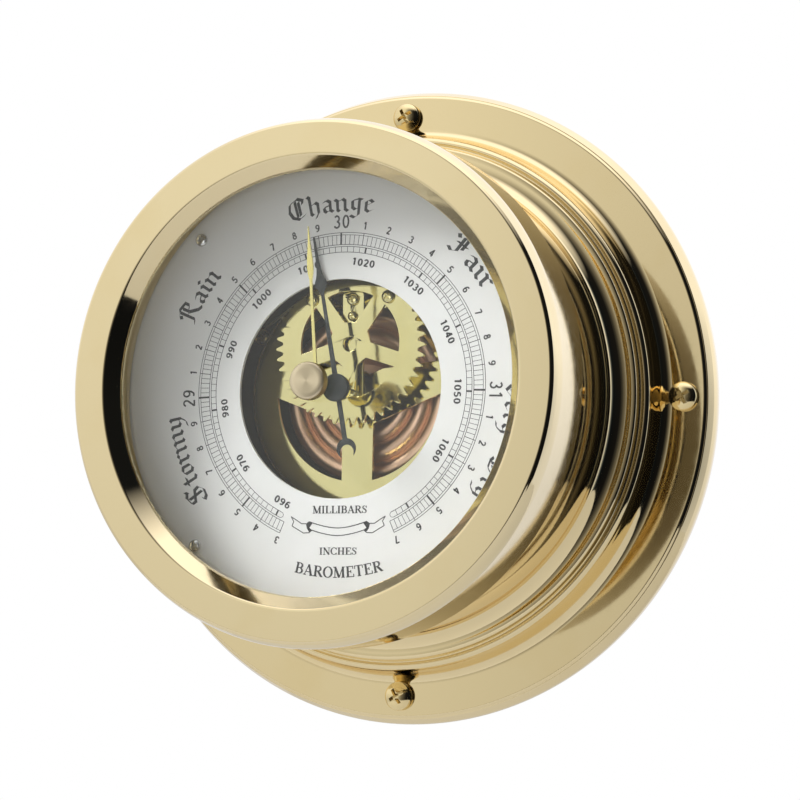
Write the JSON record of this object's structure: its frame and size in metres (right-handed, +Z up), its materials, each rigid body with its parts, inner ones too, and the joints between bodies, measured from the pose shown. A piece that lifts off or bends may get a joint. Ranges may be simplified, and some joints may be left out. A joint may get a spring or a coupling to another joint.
{
  "type": "ship barometer",
  "caption": "Round brass aneroid barometer on a wall flange, with a knob-set marker hand, a ring dial and an open movement seen through its centre.",
  "frame": {"origin": "centre of the back face, on the case's axis and in the plane of the wall", "axes": "+Z is up, and the dial faces -Y, so +Y points into the wall"},
  "size_m": [0.18, 0.088, 0.18],
  "materials": {
    "polished_brass": "polished",
    "plate_brass": "polished",
    "dark_brass": "darkened",
    "copper": "bright copper",
    "steel": "bright",
    "black_steel": "satin black",
    "dial_white": "silvered white with black printing",
    "glass_clear": "clear"
  },
  "bodies": {
    "case": {"back_cover": "dark_brass", "back_cover_screw_1": "steel", "back_cover_screw_2": "steel", "back_cover_screw_3": "steel", "base_screw_1": "dark_brass", "base_screw_2": "dark_brass", "base_screw_3": "dark_brass", "bezel": "polished_brass", "bridge_block": "plate_brass", "bridge_screw_1": "plate_brass", "bridge_screw_2": "plate_brass", "capsule": "copper", "capsule_nut": "steel", "capsule_plate": "dark_brass", "capsule_post": "dark_brass", "carrier_screw": "steel", "carrier_strip": "steel", "case_body": "polished_brass", "dial_plate": "dial_white", "dial_screw_1": "steel", "dial_screw_2": "steel", "dial_screw_3": "steel", "dial_screw_4": "steel", "dial_spacer_ring": "polished_brass", "gear_plate": "plate_brass", "gear_plate_post_left": "plate_brass", "gear_plate_post_right": "plate_brass", "gear_plate_screw_left": "plate_brass", "gear_plate_screw_right": "plate_brass", "glass": "glass_clear", "glass_bush": "polished_brass", "glass_retaining_ring": "steel", "hairspring": "steel", "hand_bridge": "plate_brass", "movement_base": "dark_brass", "movement_frame": "plate_brass", "movement_pillar_1": "dark_brass", "movement_pillar_2": "dark_brass", "movement_pillar_3": "dark_brass", "set_spring_washer": "steel", "wall_screw_1": "polished_brass", "wall_screw_2": "polished_brass", "wall_screw_3": "polished_brass", "wall_screw_4": "polished_brass"},
    "pressure_pointer": {"pressure_hand": "black_steel", "hand_hub": "black_steel", "hand_collet": "polished_brass", "hand_arbor": "steel", "hand_pinion": "steel"},
    "sector": {"sector_gear": "plate_brass", "sector_arbor": "steel"},
    "rocker": {"rocking_shaft": "steel", "rocker_lever": "steel", "drive_arm": "steel"},
    "capsule_centre": {"capsule_stud": "steel"},
    "set_pointer": {"set_knob": "polished_brass", "set_spindle": "polished_brass", "set_hand": "plate_brass"},
    "adjuster": {"adjusting_screw": "steel"}
  },
  "joints": [
    {"name": "hand_turn", "type": "hinge", "parent": "case", "child": "pressure_pointer", "pos_m": [0, -0.0405, 0], "axis": [0, 1, 0], "range_deg": [-146.1, 167.1], "stiffness_Nm_per_rad": 0.001},
    {"name": "sector_turn", "type": "hinge", "parent": "case", "child": "sector", "pos_m": [-0.01005, -0.0405, 0.009], "axis": [0, 1, 0], "range_deg": [-12.2, 10.7]},
    {"name": "rocker_turn", "type": "hinge", "parent": "case", "child": "rocker", "pos_m": [0, -0.038, 0.005], "axis": [1, 0, 0], "range_deg": [-5.4, 6.2]},
    {"name": "capsule_rise", "type": "slide", "parent": "case", "child": "capsule_centre", "axis": [0, 1, 0], "range_m": [-0.00048, 0.00055]},
    {"name": "set_pointer_turn", "type": "hinge", "parent": "case", "child": "set_pointer", "pos_m": [0, -0.0704, 0], "axis": [0, 1, 0], "continuous": true},
    {"name": "adjuster_turn", "type": "hinge", "parent": "case", "child": "adjuster", "pos_m": [0, -0.0212, -0.016], "axis": [0, 1, 0], "range_deg": [-180, 180]}
  ],
  "couplings": [
    {"joint": "sector_turn", "follows": "hand_turn", "ratio": -0.071429},
    {"joint": "rocker_turn", "follows": "hand_turn", "ratio": 0.035714},
    {"joint": "capsule_rise", "follows": "hand_turn", "m_per_rad": 0.00017857}
  ]
}
